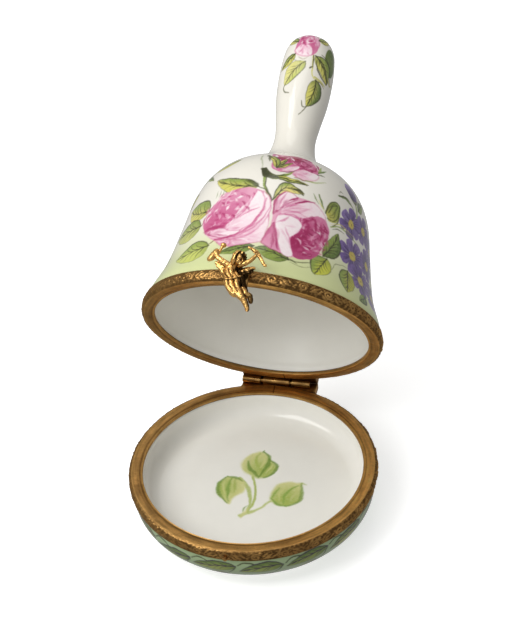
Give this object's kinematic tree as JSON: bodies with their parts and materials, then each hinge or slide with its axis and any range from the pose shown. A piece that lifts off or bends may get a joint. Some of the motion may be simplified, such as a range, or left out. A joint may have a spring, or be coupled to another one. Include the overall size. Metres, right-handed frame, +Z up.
{
  "type": "bell-shaped hinged porcelain box",
  "caption": "Hand-bell-shaped hinged trinket box: domed porcelain lid with tapered handle, shallow porcelain dish base, brass bezels, three-knuckle hinge and figural clasp.",
  "frame": {"origin": "centre of the base's foot ring, on the surface that the box stands on", "axes": "+Z up through the dish, -Y the front with the clasp, +Y the back with the hinge, +X along the hinge pin"},
  "size_m": [0.056, 0.1124, 0.0762],
  "materials": {
    "painted_porcelain": "glossy glaze with hand painting",
    "cement": "matt, dark with age",
    "bezel_brass": "antiqued, chased outside",
    "hinge_brass": "satin",
    "clasp_brass": "cast, dark in its hollows"
  },
  "bodies": {
    "base": {"base_dish": "painted_porcelain", "base_cement": "cement", "base_bezel": "bezel_brass", "base_hinge_leaf": "bezel_brass", "base_knuckle": "hinge_brass", "catch_stud": "clasp_brass"},
    "lid": {"bell_lid": "painted_porcelain", "lid_cement": "cement", "lid_bezel": "bezel_brass", "lid_hinge_leaf": "bezel_brass", "lid_knuckle_left": "hinge_brass", "lid_knuckle_right": "hinge_brass", "hinge_pin": "hinge_brass", "clasp_tongue": "clasp_brass", "clasp_figure": "clasp_brass"}
  },
  "joints": [
    {"name": "lid_hinge", "type": "hinge", "parent": "base", "child": "lid", "pos_m": [0, 0.02895, 0.013], "axis": [1, 0, 0], "range_deg": [0, 63]}
  ]
}
